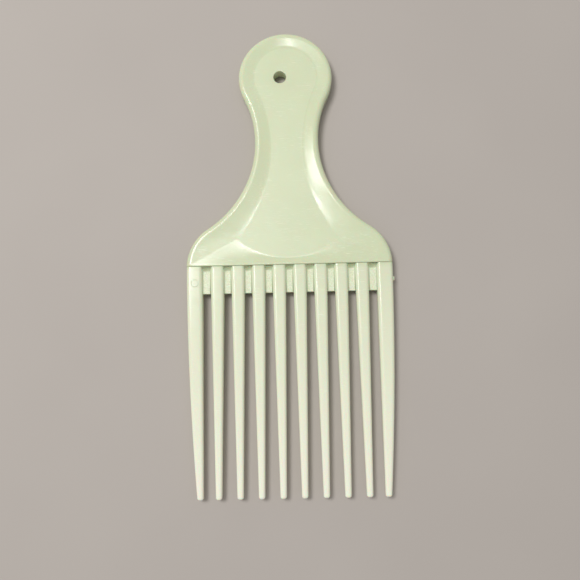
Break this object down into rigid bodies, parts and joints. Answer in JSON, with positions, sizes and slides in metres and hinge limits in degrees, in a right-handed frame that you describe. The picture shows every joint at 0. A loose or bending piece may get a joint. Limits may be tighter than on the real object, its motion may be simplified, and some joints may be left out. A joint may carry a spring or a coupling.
{
  "type": "afro pick",
  "caption": "Flat hair pick with a round-ended waisted handle, a hanging hole and long tapered teeth joined at their roots by thin webs.",
  "frame": {"origin": "under the middle of the pick's outline, on the plane that its back rim lies on", "axes": "+X across the teeth to the right as seen from the front, +Y from the tips to the hanging end, +Z out of the front face"},
  "size_m": [0.0762, 0.175, 0.0058],
  "materials": {
    "glossy_plastic": "polished moulded plastic, pale green ivory, very slightly translucent",
    "textured_plastic": "the same plastic with the matte grain of an eroded mould face"
  },
  "bodies": {
    "root": {"handle_end": "glossy_plastic", "handle_neck": "glossy_plastic", "shoulder": "glossy_plastic", "tooth_01": "glossy_plastic", "tooth_02": "glossy_plastic", "tooth_03": "glossy_plastic", "tooth_04": "glossy_plastic", "tooth_05": "glossy_plastic", "tooth_06": "glossy_plastic", "tooth_07": "glossy_plastic", "tooth_08": "glossy_plastic", "tooth_09": "glossy_plastic", "tooth_10": "glossy_plastic", "web_01": "textured_plastic", "web_02": "textured_plastic", "web_03": "textured_plastic", "web_04": "textured_plastic", "web_05": "textured_plastic", "web_06": "textured_plastic", "web_07": "textured_plastic", "web_08": "textured_plastic", "web_09": "textured_plastic"}
  },
  "joints": []
}
